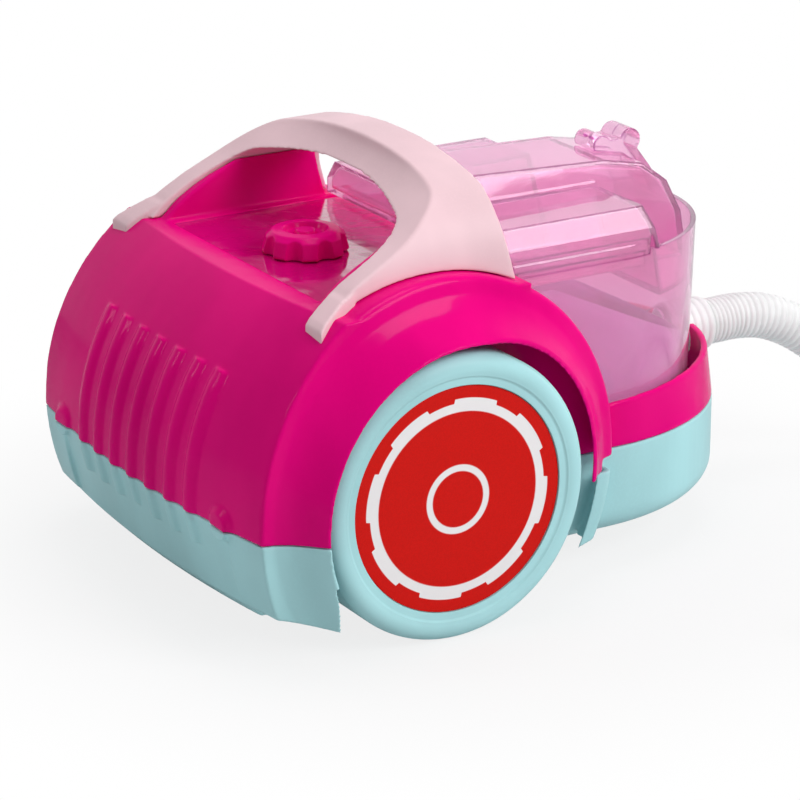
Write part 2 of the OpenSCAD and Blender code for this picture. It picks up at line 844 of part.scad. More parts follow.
module bin_seal() {
    color(dark) translate([0, 0, motor_z]) difference() {
        rod_y(port_r + 2, -bin_rear + seat, -front_wall_y);
        rod_y(port_r - 2, -bin_rear - 1, -front_wall_y + 1);
    }
}

module filter_screen() {
    r = port_r;
    color(milky) translate([0, 0, motor_z]) {
        difference() {
            rod_y(r, -bin_rear - bin_wall - 3, -bin_rear - bin_wall);
            rod_y(r - 2.5, -bin_rear - bin_wall - 4, -bin_rear);
        }
        for (i = [-2 : 2]) {
            translate([-r + 2, -bin_rear - bin_wall - 2, 5 * i - 0.6]) cube([2 * r - 4, 1.2, 1.2]);
            translate([5 * i - 0.6, -bin_rear - bin_wall - 2, -r + 2]) cube([1.2, 1.2, 2 * r - 4]);
        }
    }
}

duct_back = front_wall_y - wall - 24;
bracket_t = 2.5;
motor_front = -duct_back + bracket_t;
shaft_r = 1;
fan_front = -front_wall_y + wall + 3.5;
fan_len = 14;

module fan_duct() {
    color(milky) translate([0, 0, motor_z]) difference() {
        rod_y(fan_d / 2 + 4, -front_wall_y + wall, -duct_back);
        rod_y(fan_d / 2 + 1.8, -front_wall_y + wall - 1, -duct_back + 1);
    }
}

module fan_wheel() {
    back = fan_front + fan_len;
    color(aqua) translate([0, 0, motor_z]) difference() {
        union() {
            rod_y(5, fan_front, back);
            rod_y(fan_d / 2, back - 1.5, back);
            for (i = [0 : blade_count - 1]) rotate([0, i * 360 / blade_count, 0])
                translate([4, fan_front + 2, -0.6]) rotate([0, -14, 0])
                    cube([fan_d / 2 - 6, fan_len - 3, 1.2]);
        }
        rod_y(shaft_r + 0.02, fan_front - 1, back + 1);
    }
}

module motor_shaft() {
    color(steel) translate([0, 0, motor_z]) rod_y(shaft_r, fan_front + 1, motor_front + motor_l - 4);
}

module motor() {
    color(steel) translate([0, 0, motor_z]) difference() {
        union() {
            rod_y(motor_d / 2, motor_front, motor_front + motor_l);
            rod_y(3, motor_front - bracket_t + 0.3, motor_front + 1);
        }
        rod_y(shaft_r + running, motor_front - 10, motor_front + motor_l - 3);
    }
}

// Upright plate on the tray's floor that carries the motor and closes the fan's duct
module motor_bracket() {
    foot_z = belly_z + wall;
    color(milky) difference() {
        union() {
            translate([-28, -duct_back, foot_z]) cube([56, bracket_t, motor_z + 30 - foot_z]);
            translate([-28, -duct_back - 14, foot_z]) cube([56, 16, bracket_t]);
            for (x = [-28, 25.5]) translate([x, 0, 0]) along_x(0, 2.5)
                polygon([[-duct_back, foot_z], [-duct_back - 13, foot_z], [-duct_back, foot_z + 26]]);
        }
        translate([0, 0, motor_z]) rod_y(3.1, -duct_back - 1, -duct_back + bracket_t + 1);
    }
}

module axle() {
    color(steel) translate([0, 0, wheel_r]) rod_x(axle_r, -cap_x - 1.5, cap_x + 1.5);
}

disc_x = face_x - 2.6;
disc_t = 0.8;
plate_t = 3;
hub_r = 8;
cap_x = disc_x - 2.6;

module axle_cap() {
    color(steel) translate([0, 0, wheel_r]) difference() {
        rod_x(hub_r - 1.5, cap_x, cap_x + 2.2);
        rod_x(axle_r + 0.02, cap_x - 1, cap_x + 1.52);
    }
}

// Half section of a wheel in (radius, x)
module wheel_section() {
    shoulder = 6;
    difference() {
        union() {
            // Tread and rounded shoulder
            translate([wheel_r - shoulder, wheel_in_x]) square([shoulder, wheel_w - shoulder]);
            translate([wheel_r - shoulder, face_x - shoulder]) circle(shoulder);
            // Face with the disc's seat
            polygon([[axle_r + running, disc_x - plate_t], [wheel_r - shoulder, disc_x - plate_t],
                [wheel_r - shoulder, face_x], [disc_d / 2 + 4, face_x - 0.4], [disc_d / 2 + 3.4, face_x - 1],
                [disc_d / 2 + seat, face_x - 1.2], [disc_d / 2 + seat, disc_x], [axle_r + running, disc_x]]);
            // Hub
            translate([axle_r + running, wheel_in_x])
                square([hub_r - axle_r - running, disc_x - wheel_in_x - plate_t + 1]);
        }
        // Hollow of the tread
        translate([hub_r, wheel_in_x - 1]) square([wheel_r - 4 - hub_r, disc_x - plate_t - wheel_in_x + 1]);
        // Room for the axle's cap
        translate([0, cap_x - 0.3]) square([hub_r - 1, 10]);
    }
}

module wheel() {
    color(aqua) translate([0, 0, wheel_r]) {
        rotate([0, 90, 0]) rotate_extrude($fn = 120) wheel_section();
        for (i = [0 : 5]) rotate([i * 60, 0, 0])
            translate([wheel_in_x + 5, -1, hub_r - 0.5])
                cube([disc_x - plate_t - wheel_in_x - 4.5, 2, wheel_r - 4 - hub_r + 1]);
    }
}

module disc() {
    color(disc_red) translate([0, 0, wheel_r]) rod_x(disc_d / 2, disc_x, disc_x + disc_t);
}

caster_r = caster_d / 2;
caster_w = 9;
fork_t = 2.2;
pin_r = 1.5;
fork_z = caster_d + 1;

module caster_fork() {
    fork_top = belly_z - free;
    side_in = caster_w / 2 + free;
    color(aqua) translate([0, -caster_y, 0]) difference() {
        union() {
            translate([0, 0, fork_z]) cylinder(r = 9, h = fork_top - fork_z);
            translate([0, 0, fork_top - 1]) cylinder(r = swivel_r, h = socket_top_z - fork_top);
            both_sides() along_x(side_in, side_in + fork_t) {
                translate([caster_trail, caster_r]) circle(4);
                polygon([[-5, fork_z + 0.5], [-3, fork_z - 3], [caster_trail - 3.6, caster_r - 1.5],
                    [caster_trail + 3.9, caster_r + 1], [caster_trail, fork_z + 0.5]]);
            }
        }
        translate([0, caster_trail, caster_r]) rod_x(pin_r + 0.02, -20, 20);
    }
}

module caster_wheel() {
    color(dark) translate([0, caster_trail - caster_y, caster_r]) difference() {
        rod_x(caster_r, -caster_w / 2, caster_w / 2);
        rod_x(pin_r + running, -10, 10);
    }
}

module caster_pin() {
    color(steel) translate([0, caster_trail - caster_y, caster_r])
        rod_x(pin_r, -caster_w / 2 - free - fork_t, caster_w / 2 + free + fork_t);
}

// Cuff on the hose's end, held in a notch of the rim, with a flange behind the rim
module hose_collar() {
    back = bin_nose_y + bin_hw + 1.5;
    color(milky) translate([0, 0, exit_z]) difference() {
        union() {
            rod_y(collar_r, -collar_y, -back);
            rod_y(collar_r + 2, -back - 1.5, -back);
        }
        rod_y(hose_d / 2 - 1, -big, 0);
        rod_y(hose_d / 2 + seat, -big, hose_route[0][1] - frame_y);
    }
}

// Route of the hose's centre line in the finished frame: out of the collar, down to the floor, round and back
hose_route = [
    [0, -135, 70], [0, -145, 70], [0, -156, 70], [-1, -170, 68], [-3, -184, 62], [-6, -197, 53],
    [-10, -209, 43], [-14, -221, 32], [-19, -234, 22], [-26, -249, 15], [-35, -265, 12], [-47, -281, 11],
    [-62, -295, 11], [-80, -306, 11], [-101, -312, 11], [-123, -312, 11], [-144, -306, 11], [-162, -295, 11],
    [-176, -279, 11], [-185, -260, 11], [-189, -239, 11], [-190, -218, 11], [-190, -198, 11],
    [-190, -178, 12], [-190, -158, 13], [-190, -138, 14], [-190, -130, 14]
];
hose_sides = 8;

// Direction of the route at u, and a ring of points square to it
function route_dir(pts, u) = unit(route_at(pts, min(1, u + 0.002)) - route_at(pts, max(0, u - 0.002)));
function ring(p, d, r) = let (s = unit(cross(d, [0, 0, 1])), t = cross(s, d))
    [for (k = [0 : hose_sides - 1]) let (a = 360 * k / hose_sides) p + r * (cos(a) * s + sin(a) * t)];

rib_rings = 2 * rib_count;
rib_depth = 1.6;

// The ribbed tube: rings of two sizes in turn along the route, outside then back through the bore
module hose() {
    outer = [for (i = [0 : rib_rings]) let (u = i / rib_rings)
        ring(route_at(hose_route, u), route_dir(hose_route, u), hose_d / 2 - (i % 2 == 0 ? rib_depth : 0))];
    bore_rings = 60;
    inner = [for (i = [bore_rings : -1 : 0]) let (u = i / bore_rings)
        ring(route_at(hose_route, u), route_dir(hose_route, u), hose_bore / 2)];
    rings = concat(outer, inner);
    n = len(rings);
    points = [for (r = rings) for (p = r) p];
    faces = [for (i = [0 : n - 1]) for (k = [0 : hose_sides - 1])
        let (a = i * hose_sides + k, b = i * hose_sides + (k + 1) % hose_sides,
            c = ((i + 1) % n) * hose_sides + (k + 1) % hose_sides, d = ((i + 1) % n) * hose_sides + k)
        each [[a, b, c], [a, c, d]]];
    color(milky) polyhedron(points, faces);
}

// Length of the hose along its centre line
hose_steps = 400;
function hose_at(i) = route_at(hose_route, i / hose_steps);
function hose_step(i) = norm(hose_at(i) - hose_at(i - 1));
function hose_sum(i) = i == 0 ? 0 : hose_step(i) + hose_sum(i - 1);
echo(hose_length = hose_sum(hose_steps));

// Connector on the hose's far end, with a socket for a wand
module hose_connector() {
    end = hose_route[len(hose_route) - 1];
    r = socket_d / 2 + 2;
    color(aqua) translate(end) difference() {
        union() {
            rod_y(r - 0.8, 0, connector_l);
            rod_y(r, connector_l - 8, connector_l);
        }
        rod_y(hose_bore / 2, -1, connector_l + 1);
        rod_y(socket_d / 2, 12, connector_l + 1);
    }
}

part_frame() base_tray();
part_frame() upper_shell();
part_frame() handle();
part_frame() deck_panel();
part_frame() knob();
part_frame() power_switch();
part_frame() bin_cup();
part_frame() bin_lid();
part_frame() bin_latch();
part_frame() bin_seal();
part_frame() filter_screen();
part_frame() motor();
part_frame() motor_bracket();
part_frame() motor_shaft();
part_frame() fan_wheel();
part_frame() fan_duct();
part_frame() axle();
part_frame() axle_cap();  // axle_cap_right
part_frame() mirror([1, 0, 0]) axle_cap();  // axle_cap_left
part_frame() wheel();  // wheel_right
part_frame() mirror([1, 0, 0]) wheel();  // wheel_left
part_frame() disc();  // disc_right
part_frame() mirror([1, 0, 0]) disc();  // disc_left
part_frame() caster_fork();
part_frame() caster_wheel();
part_frame() caster_pin();
part_frame() hose_collar();
hose();
hose_connector();
part_frame() battery_door();
part_frame() door_screw();
part_frame() battery_cells();
part_frame() battery_contacts();
part_frame() case_screws();
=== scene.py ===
"""Looks of a toy canister vacuum cleaner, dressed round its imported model.

Metres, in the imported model's own frame: +X to the right wheel, +Y to the bowed rear, +Z up, floor at z = 0.
"""
import json
import logging
import math
from dataclasses import dataclass, field
from enum import Enum
from typing import Callable, Sequence, Union

import bmesh
import bpy
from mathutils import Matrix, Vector


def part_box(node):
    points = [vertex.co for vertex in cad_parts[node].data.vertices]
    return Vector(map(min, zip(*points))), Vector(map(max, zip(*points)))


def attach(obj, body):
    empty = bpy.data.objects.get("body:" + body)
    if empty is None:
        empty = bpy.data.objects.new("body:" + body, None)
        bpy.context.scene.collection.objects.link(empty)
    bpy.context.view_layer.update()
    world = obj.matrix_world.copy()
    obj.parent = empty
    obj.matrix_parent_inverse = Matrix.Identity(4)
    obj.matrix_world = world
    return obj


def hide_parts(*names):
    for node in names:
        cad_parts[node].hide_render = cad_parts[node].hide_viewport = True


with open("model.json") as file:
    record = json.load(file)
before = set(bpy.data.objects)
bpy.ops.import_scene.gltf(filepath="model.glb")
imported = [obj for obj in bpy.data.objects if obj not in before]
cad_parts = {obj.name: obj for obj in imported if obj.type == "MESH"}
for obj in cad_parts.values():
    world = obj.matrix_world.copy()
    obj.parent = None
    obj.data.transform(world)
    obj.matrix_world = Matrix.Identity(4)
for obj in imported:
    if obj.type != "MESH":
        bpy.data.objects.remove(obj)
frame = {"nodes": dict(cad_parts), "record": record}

LOG = logging.getLogger("toy_cleaner")
Colour = tuple[float, float, float]
Pair = tuple[float, float]
Point = tuple[float, float, float]
Number = Union[int, float]


class Sock:
    """A shader socket that can stand in a Python expression."""

    def __init__(self, shader: "Shader", socket: bpy.types.NodeSocket) -> None:
        """Keeps the socket and the shader that it belongs to."""
        self.shader = shader
        self.socket = socket

    def _math(self, operation: str, *others: "Value") -> "Sock":
        """Adds a Math node that takes this socket first.

        Args:
            operation: The Math node's operation.
            others: Its other values, sockets or numbers.

        Returns:
            The node's result.
        """
        return self.shader.node("ShaderNodeMath", {"operation": operation}, dict(enumerate((self, *others))))

    def __add__(self, other: "Value") -> "Sock":
        """This plus other."""
        return self._math("ADD", other)

    __radd__ = __add__

    def __sub__(self, other: "Value") -> "Sock":
        """This less other."""
        return self._math("SUBTRACT", other)

    def __rsub__(self, other: "Value") -> "Sock":
        """Other less this."""
        return self._math("MULTIPLY", -1.0) + other

    def __mul__(self, other: "Value") -> "Sock":
        """This times other."""
        return self._math("MULTIPLY", other)

    __rmul__ = __mul__

    def __truediv__(self, other: "Value") -> "Sock":
        """This over other."""
        return self._math("DIVIDE", other)

    def frac(self) -> "Sock":
        """The part after the decimal point."""
        return self._math("FRACT")

    def root(self) -> "Sock":
        """The square root."""
        return self._math("SQRT")

    def clip(self) -> "Sock":
        """This, held between 0 and 1."""
        return self.shader.node("ShaderNodeClamp", {}, {"Value": self})

    def most(self, other: "Value") -> "Sock":
        """The greater of this and other."""
        return self._math("MAXIMUM", other)

    def step(self, low: float, high: float) -> "Sock":
        """A smooth step from 0 at low to 1 at high.

        Args:
            low: Where the step starts.
            high: Where the step ends.

        Returns:
            The step's value.
        """
        settings = {"interpolation_type": "SMOOTHSTEP"}
        inputs = {"Value": self, "From Min": low, "From Max": high}
        return self.shader.node("ShaderNodeMapRange", settings, inputs)


Value = Union[Sock, Number]


class Shader:
    """The node tree of one material, world or lamp."""

    def __init__(self, tree: bpy.types.NodeTree) -> None:
        """Starts with an empty tree."""
        self.tree = tree
        tree.nodes.clear()

    def node(self, kind: str, settings: dict | None = None, inputs: dict | None = None,
             out: str | int = 0) -> Sock:
        """Adds a node of any type.

        Args:
            kind: The node's type.
            settings: Its properties, set first.
            inputs: Values or links by socket name or number.
            out: The output that is wanted.

        Returns:
            That output.
        """
        made = self.tree.nodes.new(kind)
        for key, value in (settings or {}).items():
            setattr(made, key, value)
        for key, value in (inputs or {}).items():
            self._feed(made.inputs[key], value)
        return Sock(self, made.outputs[out])

    def _feed(self, socket: bpy.types.NodeSocket, value: object) -> None:
        """Links a socket or sets its value, with alpha added to a bare colour."""
        if isinstance(value, Sock):
            self.tree.links.new(value.socket, socket)
        elif isinstance(value, tuple) and socket.type == "RGBA" and len(value) == 3:
            socket.default_value = (*value, 1.0)
        else:
            socket.default_value = value

    def place(self) -> Sock:
        """The piece's own coordinates, in metres."""
        return self.node("ShaderNodeTexCoord", out="Object")

    def axes(self, vector: Sock) -> tuple[Sock, Sock, Sock]:
        """The three parts of a vector."""
        made = self.node("ShaderNodeSeparateXYZ", inputs={0: vector}).socket.node
        return tuple(Sock(self, made.outputs[i]) for i in range(3))

    def noise(self, at: Sock, scale: float, detail: float = 2.0, stretch: Point | None = None) -> Sock:
        """Smooth noise from 0 to 1.

        Args:
            at: Where it is read.
            scale: Its features per metre.
            detail: How many finer layers it has.
            stretch: Factors along the three axes.

        Returns:
            The noise's value.
        """
        if stretch:
            at = self.node("ShaderNodeVectorMath", {"operation": "MULTIPLY"}, {0: at, 1: stretch})
        return self.node("ShaderNodeTexNoise", {}, {"Vector": at, "Scale": scale, "Detail": detail})

    def blend(self, share: Value, first: object, second: object) -> Sock:
        """A colour between two others.

        Args:
            share: How much of the second there is.
            first: The colour at 0.
            second: The colour at 1.

        Returns:
            The mixed colour.
        """
        return self.node("ShaderNodeMix", {"data_type": "RGBA"}, {0: share, 6: first, 7: second}, out=2)

    def bump(self, height: Sock, depth: float, normal: Sock | None = None) -> Sock:
        """A bumped normal.

        Args:
            height: The bumps, from 0 to 1.
            depth: Their full height in metres.
            normal: A normal to start from.

        Returns:
            The bumped normal.
        """
        inputs = {"Height": height, "Distance": depth, "Strength": 1.0}
        if normal:
            inputs["Normal"] = normal
        return self.node("ShaderNodeBump", {}, inputs)

    def surface(self, shader: Sock, kind: str = "ShaderNodeOutputMaterial") -> None:
        """Adds an output node and links its surface.

        Args:
            shader: What is sent to it.
            kind: The output node's type.
        """
        made = self.tree.nodes.new(kind)
        self.tree.links.new(shader.socket, made.inputs["Surface"])

    def seen(self) -> Sock:
        """1 for what the camera sees, also through clear plastic, and 0 for the rest."""
        camera = self.node("ShaderNodeLightPath", out="Is Camera Ray")
        return camera.most(self.node("ShaderNodeLightPath", out="Is Transmission Ray"))


def new_material(name: str) -> tuple[bpy.types.Material, Shader]:
    """Makes an empty node material.

    Args:
        name: The material's name.

    Returns:
        The material and its shader.
    """
    made = bpy.data.materials.new(name)
    made.use_nodes = True
    return made, Shader(made.node_tree)


@dataclass(frozen=True)
class MouldedPlastic:
    """Injection-moulded plastic: flow marks, a faint grain, soft waves in the gloss and fine scuffs."""

    name: str
    colour: Colour
    roughness: float = 0.3
    flow: float = 0.06
    grain: float = 0.000012
    wave: float = 0.0002
    scuff: float = 0.08
    coat: float = 0.0
    coat_roughness: float = 0.12
    coat_bend: float = 1.5
    specular: float = 0.5
    bend: float = 1.5
    edge: float = 0.0

    def material(self) -> bpy.types.Material:
        """Builds the finish."""
        made, shader = new_material(self.name)
        at = shader.place()
        flow = shader.noise(at, 18.0, 3.0, (1.0, 1.0, 0.45))
        speck = shader.noise(at, 900.0, 1.0)
        lighter = tuple(min(1.0, c * (1.0 + self.flow) + 0.002) for c in self.colour)
        darker = tuple(c * (1.0 - 1.6 * self.flow) for c in self.colour)
        colour = shader.blend(flow.step(0.3, 0.7), darker, lighter)
        colour = shader.blend(speck.step(0.45, 0.75) * 0.25, colour, self.colour)
        scratch = shader.noise(at, 60.0, 5.0, (1.0, 14.0, 3.0)).step(0.58, 0.72)
        rubbed = scratch * shader.noise(at, 25.0, 2.0).step(0.45, 0.7)
        roughness = flow * 0.08 + (self.roughness - 0.04) + rubbed * self.scuff
        start = None
        if self.edge > 0.0:
            start = shader.node("ShaderNodeBevel", {"samples": 6}, {"Radius": self.edge})
        waved = shader.bump(shader.noise(at, 90.0, 1.0), self.wave, start)
        normal = shader.bump(shader.noise(at, 2400.0, 2.0), self.grain, waved)
        shader.surface(shader.node("ShaderNodeBsdfPrincipled", {}, {
            "Base Color": colour, "Roughness": roughness, "Normal": normal,
            "Coat Weight": self.coat, "Coat Roughness": self.coat_roughness, "Coat IOR": self.coat_bend,
            "Specular IOR Level": self.specular, "IOR": self.bend,
        }))
        return made


@dataclass(frozen=True)
class ClearPlastic:
    """Tinted clear plastic, a little cloudy, with painted shade along its edges in place of internal
    reflection, that casts tinted shadows.
    """

    name: str
    tint: Colour
    shadow: Colour
    # rim: colour of the painted shade along the edges, standing in for internal reflection in the walls
    rim: Colour
    clear: float = 0.82
    roughness: float = 0.03
    wave: float = 0.0002
    bend: float = 1.25
    edge_shade_width: float = 0.0009
    dense: bool = False

    def material(self) -> bpy.types.Material:
        """Builds the finish."""
        made, shader = new_material(self.name)
        at = shader.place()
        waves = shader.noise(at, 40.0, 2.0)
        smear = shader.noise(at, 70.0, 4.0, (1.0, 1.0, 0.3)).step(0.5, 0.8)
        colour = shader.blend(waves.step(0.3, 0.7), self.tint, tuple(c ** 1.1 for c in self.tint))
        # Painted shade: edges are blended towards the rim colour in place of internal reflection
        colour = shader.blend(self._painted_edge_shade(shader), colour, self.rim)
        clear = shader.node("ShaderNodeBsdfPrincipled", {}, {
            "Base Color": colour, "Roughness": smear * 0.04 + self.roughness, "IOR": self.bend,
            "Transmission Weight": self.clear, "Normal": shader.bump(waves, self.wave),
            "Coat Weight": 0.6, "Coat Roughness": 0.04, "Coat IOR": 1.5,
        })
        cast = shader.node("ShaderNodeBsdfTransparent", {}, {"Color": self.shadow})
        is_shadow = shader.node("ShaderNodeLightPath", out="Is Shadow Ray")
        shader.surface(shader.node("ShaderNodeMixShader", {}, {0: is_shadow, 1: clear, 2: cast}))
        return made

    def _painted_edge_shade(self, shader: Shader) -> Sock:
        """How near an edge is, for the painted edge shade: from a fine mesh's own shape, or from rounded
        normals on a coarse one.
        """
        if self.dense:
            return shader.node("ShaderNodeNewGeometry", out="Pointiness").step(0.51, 0.55)
        soft = shader.node("ShaderNodeBevel", {"samples": 6}, {"Radius": self.edge_shade_width})
        plain = shader.node("ShaderNodeNewGeometry", out="Normal")
        alike = shader.node("ShaderNodeVectorMath", {"operation": "DOT_PRODUCT"}, {0: soft, 1: plain}, out=1)
        return (1 - alike).step(0.01, 0.2)


@dataclass(frozen=True)
class MilkyPlastic:
    """Half-clear soft plastic of the hose, with a faint painted glow of its own colour."""

    name: str
    colour: Colour
    roughness: float = 0.32
    clear: float = 0.2
    # Strength of a painted glow that makes the hose look whiter, though it is no lamp
    painted_glow: float = 0.05

    def material(self) -> bpy.types.Material:
        """Builds the finish."""
        made, shader = new_material(self.name)
        at = shader.place()
        cloud = shader.noise(at, 60.0, 3.0)
        colour = shader.blend(cloud.step(0.3, 0.75), self.colour, tuple(c * 0.93 for c in self.colour))
        normal = shader.bump(shader.noise(at, 1500.0, 2.0), 0.00002)
        shader.surface(shader.node("ShaderNodeBsdfPrincipled", {}, {
            "Base Color": colour, "Roughness": cloud * 0.1 + self.roughness, "Normal": normal,
            "Transmission Weight": self.clear, "IOR": 1.45,
            # Painted glow: the hose emits a little of its own colour
            "Emission Color": colour, "Emission Strength": self.painted_glow,
        }))
        return made


@dataclass(frozen=True)
class PlatedSteel:
    """Zinc-plated steel with drawn lines."""

    name: str
    colour: Colour
    roughness: float = 0.34

    def material(self) -> bpy.types.Material:
        """Builds the finish."""
        made, shader = new_material(self.name)
        at = shader.place()
        lines = shader.noise(at, 300.0, 3.0, (1.0, 8.0, 8.0))
        colour = shader.blend(lines.step(0.3, 0.7), self.colour, tuple(c * 0.8 for c in self.colour))
        shader.surface(shader.node("ShaderNodeBsdfPrincipled", {}, {
            "Base Color": colour, "Metallic": 1.0, "Roughness": lines * 0.2 + (self.roughness - 0.1),
            "Normal": shader.bump(lines, 0.00002),
        }))
        return made


@dataclass(frozen=True)
class PrintedFilm:
    """Printed film on the wheel's face: a red field, a toothed white ring and a small white ring."""

    name: str
    field_colour: Colour
    ring_colour: Colour
    axle_y: float
    axle_z: float
    radius: float
    ring_in: float = 0.775
    ring_notch: float = 0.857
    ring_tooth: float = 0.894
    teeth: int = 8
    tooth_share: float = 0.62
    turned: float = 2.072
    eye: float = 0.278
    eye_w: float = 0.058

    def material(self) -> bpy.types.Material:
        """Builds the finish."""
        made, shader = new_material(self.name)
        at = shader.place()
        _, y, z = shader.axes(at)
        across = (y - self.axle_y) / self.radius
        up = (z - self.axle_z) / self.radius
        reach = (across * across + up * up).root()
        turn = across._math("ARCTAN2", up) / (2.0 * math.pi)
        soft = 0.006
        saw = ((turn + self.turned) * self.teeth).frac()
        tooth = saw.step(0.0, 0.02) * (1 - saw.step(self.tooth_share, self.tooth_share + 0.02))
        rim = tooth * (self.ring_tooth - self.ring_notch) + self.ring_notch
        ring = reach.step(self.ring_in - soft, self.ring_in + soft) * ((rim - reach) / soft).clip()
        low, high = self.eye - self.eye_w / 2, self.eye + self.eye_w / 2
        eye = reach.step(low - soft, low + soft) * (1 - reach.step(high - soft, high + soft))
        ink = shader.noise(at, 1800.0, 2.0)
        darker = tuple(c * 0.9 for c in self.field_colour)
        field_colour = shader.blend(ink.step(0.3, 0.7), self.field_colour, darker)
        colour = shader.blend(ring.most(eye), field_colour, self.ring_colour)
        rubbed = shader.noise(at, 90.0, 5.0, (1.0, 6.0, 1.0)).step(0.55, 0.75)
        shader.surface(shader.node("ShaderNodeBsdfPrincipled", {}, {
            "Base Color": colour, "Roughness": rubbed * 0.1 + 0.38,
            "Normal": shader.bump(ink, 0.000015), "Specular IOR Level": 0.12,
        }))
        return made


class Slot(Enum):
    """The record's material slots, and two more finishes of the clear one."""

    @property
    def listed(self) -> str:
        """The slot's name in the record."""
        return Slot.CLEAR.value if self in (Slot.LID, Slot.LINER) else self.value

    AQUA = "aqua_plastic"
    MAGENTA = "magenta_plastic"
    PALE = "pale_plastic"
    DECK = "deck_plastic"
    DARK = "dark_plastic"
    CLEAR = "clear_pink"
    LID = "clear_pink_lid"
    LINER = "clear_pink_liner"
    SEAL = "seal_rubber"
    WHITE = "white_plastic"
    STEEL = "steel"
    PRINT = "disc_print"
    HOSE = "hose_plastic"
    WRAP = "cell_wrap"


class Finishes:
    """The materials of all slots, each made once."""

    def __init__(self, axle: tuple[float, float], disc_radius: float) -> None:
        """Makes every finish.

        Args:
            axle: The axle's y and z.
            disc_radius: The printed disc's radius.
        """
        self.by_slot = {
            Slot.AQUA: MouldedPlastic("aqua_moulding", (0.43, 0.75, 0.775), 0.34,
                                      bend=1.2, edge=0.0006).material(),
            Slot.MAGENTA: MouldedPlastic("magenta_moulding", (0.81, 0.0, 0.205), 0.16, coat=0.06,
                                         coat_roughness=0.05, bend=1.1, edge=0.0006).material(),
            Slot.PALE: MouldedPlastic("pale_moulding", (0.87, 0.61, 0.655), 0.4,
                                      bend=1.2, edge=0.0008).material(),
            Slot.DECK: MouldedPlastic("deck_moulding", (0.60, 0.0, 0.17), 0.07, wave=0.0006, coat=1.0,
                                      coat_roughness=0.04, coat_bend=1.9).material(),
            Slot.DARK: MouldedPlastic("dark_moulding", (0.012, 0.012, 0.014), 0.5).material(),
            # The third colour of each clear finish is the painted shade along its edges
            Slot.CLEAR: ClearPlastic("clear_pink_moulding", (0.88, 0.56, 0.74), (0.95, 0.75, 0.88),
                                     (0.42, 0.04, 0.30)).material(),
            Slot.LID: ClearPlastic("clear_pink_lid", (0.88, 0.56, 0.74), (0.95, 0.75, 0.88),
                                   (0.36, 0.02, 0.26), dense=True).material(),
            Slot.LINER: ClearPlastic("clear_liner", (0.72, 0.48, 0.72), (0.9, 0.7, 0.9),
                                     (0.50, 0.08, 0.42), 0.6).material(),
            Slot.SEAL: MouldedPlastic("seal_rubber", (0.01, 0.01, 0.01), 0.65, grain=0.00004).material(),
            Slot.WHITE: MouldedPlastic("white_moulding", (0.78, 0.79, 0.80), 0.45).material(),
            Slot.STEEL: PlatedSteel("plated_steel", (0.62, 0.63, 0.65)).material(),
            Slot.PRINT: PrintedFilm("printed_film", (0.68, 0.006, 0.003), (0.88, 0.86, 0.86),
                                    *axle, disc_radius).material(),
            Slot.HOSE: MilkyPlastic("milky_hose", (0.93, 0.935, 0.93)).material(),
            Slot.WRAP: MouldedPlastic("cell_wrap", (0.02, 0.022, 0.025), 0.3).material(),
        }

    def dress(self, piece: bpy.types.Object, slot: Slot) -> None:
        """Gives a piece the finish of a slot."""
        piece.data.materials.clear()
        piece.data.materials.append(self.by_slot[slot])

    def dress_nodes(self) -> None:
        """Gives every CAD node the finish of its own slot."""
        for part in frame["record"]["subparts"]:
            node = frame["nodes"][part["node"]]
            self.dress(node, Slot(part["material_slot"]))
            LOG.info("node %s: %s", part["node"], part["material_slot"])


def link(name: str, mesh: bpy.types.Mesh) -> bpy.types.Object:
    """Puts a mesh into the scene.

    Args:
        name: The piece's name.
        mesh: Its mesh.

    Returns:
        The new object.
    """
    piece = bpy.data.objects.new(name, mesh)
    bpy.context.collection.objects.link(piece)
    return piece


Grid = list[list[bmesh.types.BMVert]]


def close_slab(made: bmesh.types.BMesh, front: Grid, back: Grid) -> None:
    """Joins two grids of vertices into a closed slab.

    Args:
        made: The mesh that holds them.
        front: One grid, as rows.
        back: The other, of the same size.
    """
    up, across = len(front) - 1, len(front[0]) - 1
    for j in range(up):
        for i in range(across):
            for grid in (front, back):
                made.faces.new((grid[j][i], grid[j][i + 1], grid[j + 1][i + 1], grid[j + 1][i]))
        for i in (0, across):
            made.faces.new((front[j][i], front[j + 1][i], back[j + 1][i], back[j][i]))
    for i in range(across):
        for j in (0, up):
            made.faces.new((front[j][i], front[j][i + 1], back[j][i + 1], back[j][i]))


def finished(made: bmesh.types.BMesh, name: str) -> bpy.types.Mesh:
    """Turns the faces outwards and makes a mesh of them.

    Args:
        made: The faces; it is freed.
        name: The mesh's name.

    Returns:
        The mesh.
    """
    bmesh.ops.recalc_face_normals(made, faces=made.faces)
    mesh = bpy.data.meshes.new(name)
    made.to_mesh(mesh)
    made.free()
    return mesh


def prisms(profile: Sequence[Pair], spans: Sequence[Pair], name: str) -> bpy.types.Mesh:
    """Solids of one outline, drawn out along x.

    Args:
        profile: The outline, as y and z in turn.
        spans: Each solid's ends along x.
        name: The mesh's name.

    Returns:
        The closed mesh.
    """
    made = bmesh.new()
    for near, far in spans:
        ends = [[made.verts.new((x, y, z)) for y, z in profile] for x in (near, far)]
        for end in ends:
            made.faces.new(end)
        for k in range(len(profile)):
            j = (k + 1) % len(profile)
            made.faces.new((ends[0][k], ends[0][j], ends[1][j], ends[1][k]))
    return finished(made, name)


